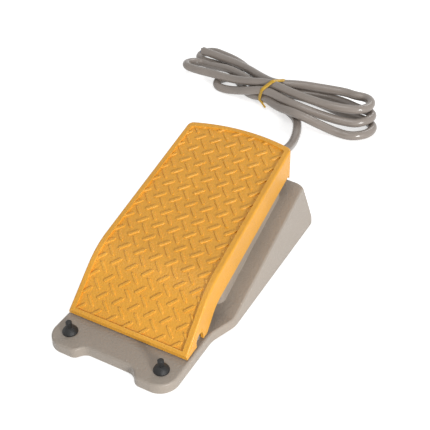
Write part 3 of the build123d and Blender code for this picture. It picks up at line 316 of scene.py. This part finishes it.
cores = [core_end("core_brown", math.radians(90), brown_vinyl), core_end("core_blue", math.radians(210), blue_vinyl),
         core_end("core_earth", math.radians(330), green_vinyl)]
for piece, slot_name in zip(cores, ("wire_brown", "wire_blue", "wire_earth")):
    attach(piece, "base")


# Tie: a flat vinyl-covered wire pulled round the seven strands, with its ends twisted together in front

tie_middle = Vector((-0.0575, 0.2596, 0.0139))
along = Vector((0.95841, -0.28539, 0.0))
behind = Vector((0.28539, 0.95841, 0.0))
# How far the tie's plane goes along the bundle per metre up, and per metre behind
tie_lean, tie_turn = 0.30, 0.22
tie_width, tie_sheet, tie_rim, tie_gap = 0.0036, 0.0006, 0.3, 0.0003
tie_ridge = 1.035
# Middle of each strand in the tie's plane, in millimetres behind the bundle's middle and above the floor
strand_places = ((0.2, 5.3), (-8.5, 9.1), (-8.7, 17.7), (1.9, 13.9), (-1.0, 22.4), (11.4, 8.6), (11.2, 18.9))
# Twisted ends: where they start in the tie's plane, how far they run along, behind and up, and their twist
twist_start, twist_run = (-0.0122, 0.0075), (0.0095, -0.0022, -0.0042)
twist_turns, twist_steps, twist_spread, twist_flare, flare_from = 3.2, 32, 0.00055, 0.0008, 0.8
wire_radius = 0.00055
tie_axis = (along - behind * tie_turn - Vector((0, 0, tie_lean))).normalized()
tie_facing = tie_axis.to_track_quat("Z", "Y").to_euler()


def tie_place(v, z):
    """Point of the tie's plane, `v` behind the bundle's middle and at height `z`, in metres."""
    height = z - tie_middle.z
    return tie_middle + along * (tie_lean * height + tie_turn * v) + behind * v + Vector((0, 0, height))


def tie_band():
    """The band: the outline that the strands stretch it to, with the wire's ridge along its middle."""
    rings = []
    bpy.ops.object.select_all(action="DESELECT")
    for v, z in strand_places:
        bpy.ops.mesh.primitive_cylinder_add(vertices=28, radius=cord_diameter / 2 + tie_gap, depth=tie_width,
                                            location=tie_place(v / 1000, z / 1000), rotation=tie_facing)
        rings.append(bpy.context.object)
    for ring in rings:
        ring.select_set(True)
    bpy.ops.object.join()
    piece = bpy.context.object
    select_only(piece)
    bpy.ops.object.transform_apply(location=True, rotation=True, scale=True)
    bpy.ops.object.mode_set(mode="EDIT")
    bpy.ops.mesh.select_all(action="SELECT")
    bpy.ops.mesh.convex_hull()
    bpy.ops.mesh.select_all(action="DESELECT")
    bpy.ops.object.mode_set(mode="OBJECT")
    for face in piece.data.polygons:
        face.select = abs(face.normal.dot(tie_axis)) > 0.9
    bpy.ops.object.mode_set(mode="EDIT")
    bpy.ops.mesh.delete(type="ONLY_FACE")
    bpy.ops.mesh.select_all(action="SELECT")
    bpy.ops.mesh.bisect(plane_co=tie_middle, plane_no=tie_axis)
    bpy.ops.transform.resize(value=(tie_ridge, tie_ridge, tie_ridge), center_override=tie_middle)
    bpy.ops.object.mode_set(mode="OBJECT")
    sheet = piece.modifiers.new("sheet", "SOLIDIFY")
    sheet.thickness = tie_sheet
    sheet.offset = 1.0
    rim = piece.modifiers.new("rim", "BEVEL")
    rim.width = tie_sheet * tie_rim
    rim.segments = 2
    for modifier in ("sheet", "rim"):
        bpy.ops.object.modifier_apply(modifier=modifier)
    settle(piece, "tie_band", yellow_vinyl)
    return piece


def tie_end(name, phase):
    """One of the two ends, twisted round the other in front of the bundle."""
    start = tie_place(*twist_start)
    tip = start + along * twist_run[0] + behind * twist_run[1] + Vector((0, 0, twist_run[2]))
    way = (tip - start).normalized()
    side = way.cross(Vector((0, 0, 1))).normalized()
    high = side.cross(way)
    points = []
    for step in range(twist_steps + 1):
        share = step / twist_steps
        turn = phase + share * 2 * math.pi * twist_turns
        spread = twist_spread + twist_flare * max(0.0, share - flare_from)
        place = start.lerp(tip, share) + (side * math.cos(turn) + high * math.sin(turn)) * spread
        points.append(tuple(value * 1000 for value in place))
    piece = smooth_line(name, points, wire_radius, yellow_vinyl)
    select_only(piece)
    bpy.ops.object.convert(target="MESH")
    return piece


tie_pieces = [tie_band(), tie_end("tie_end_left", 0.0), tie_end("tie_end_right", math.pi)]
for piece in tie_pieces:
    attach(piece, "base")
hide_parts("cord_tie")


# Studio

lamp_target = Vector((0.0, 0.06, 0.03))


def seen_by_eye(material):
    """1 on rays from the eye, a mirror or a glass, 0 on rays that only carry light."""
    path = add(material, "ShaderNodeLightPath")
    mirror = add(material, "ShaderNodeMath", {0: path.outputs["Is Camera Ray"], 1: path.outputs["Is Glossy Ray"]},
                 operation="MAXIMUM")
    return add(material, "ShaderNodeMath", {0: mirror.outputs[0], 1: path.outputs["Is Transmission Ray"]},
               operation="MAXIMUM").outputs[0]


# Light that the paper gives to the eye alone, light from all round, and what a mirror or the eye sees behind
paper_glow, air_light, backdrop_light = 0.62, 0.35, 1.0
paper_size = 6.0

# Pale matt paper: nearly white to the eye, and it still takes the object's shadow.
paper = bpy.data.materials.new("pale_matt_paper")
paper.use_nodes = True
paper.node_tree.nodes.clear()
matt = add(paper, "ShaderNodeBsdfDiffuse", {"Color": colour("#ECECEC")})
lit = add(paper, "ShaderNodeEmission", {"Color": colour("#FFFFFF"), "Strength": paper_glow})
both = add(paper, "ShaderNodeAddShader", {0: matt.outputs[0], 1: lit.outputs[0]})
seen = add(paper, "ShaderNodeMixShader", {0: seen_by_eye(paper), 1: matt.outputs[0], 2: both.outputs[0]})
add(paper, "ShaderNodeOutputMaterial", {"Surface": seen.outputs[0]})

bpy.ops.object.select_all(action="DESELECT")
bpy.ops.mesh.primitive_plane_add(size=paper_size, location=(0, 0, 0))
floor = bpy.context.object
floor.name = "floor"
floor.data.materials.append(paper)

world = bpy.data.worlds.new("studio_air")
scene.world = world
world.use_nodes = True
world.node_tree.nodes.clear()
air = add(world, "ShaderNodeBackground", {"Color": colour("#FFFFFF"), "Strength": air_light})
backdrop = add(world, "ShaderNodeBackground", {"Color": colour("#FFFFFF"), "Strength": backdrop_light})
around = add(world, "ShaderNodeMixShader", {0: seen_by_eye(world), 1: air.outputs[0], 2: backdrop.outputs[0]})
add(world, "ShaderNodeOutputWorld", {"Surface": around.outputs[0]})


def lamp(name, place, size, power):
    """Soft square lamp that points at the object."""
    data = bpy.data.lights.new(name, "AREA")
    data.shape = "SQUARE"
    data.size = size
    data.energy = power
    item = bpy.data.objects.new(name, data)
    scene.collection.objects.link(item)
    item.location = place
    item.rotation_euler = (lamp_target - Vector(place)).to_track_quat("-Z", "Y").to_euler()


lamp("key_right", (1.27, -0.75, 0.40), 0.3, 18.5)
lamp("fill_top", (-0.2, -0.5, 1.7), 0.7, 5.0)
lamp("top_behind", (0.1, 1.35, 1.1), 0.6, 4.0)

scene.view_settings.view_transform = "Standard"
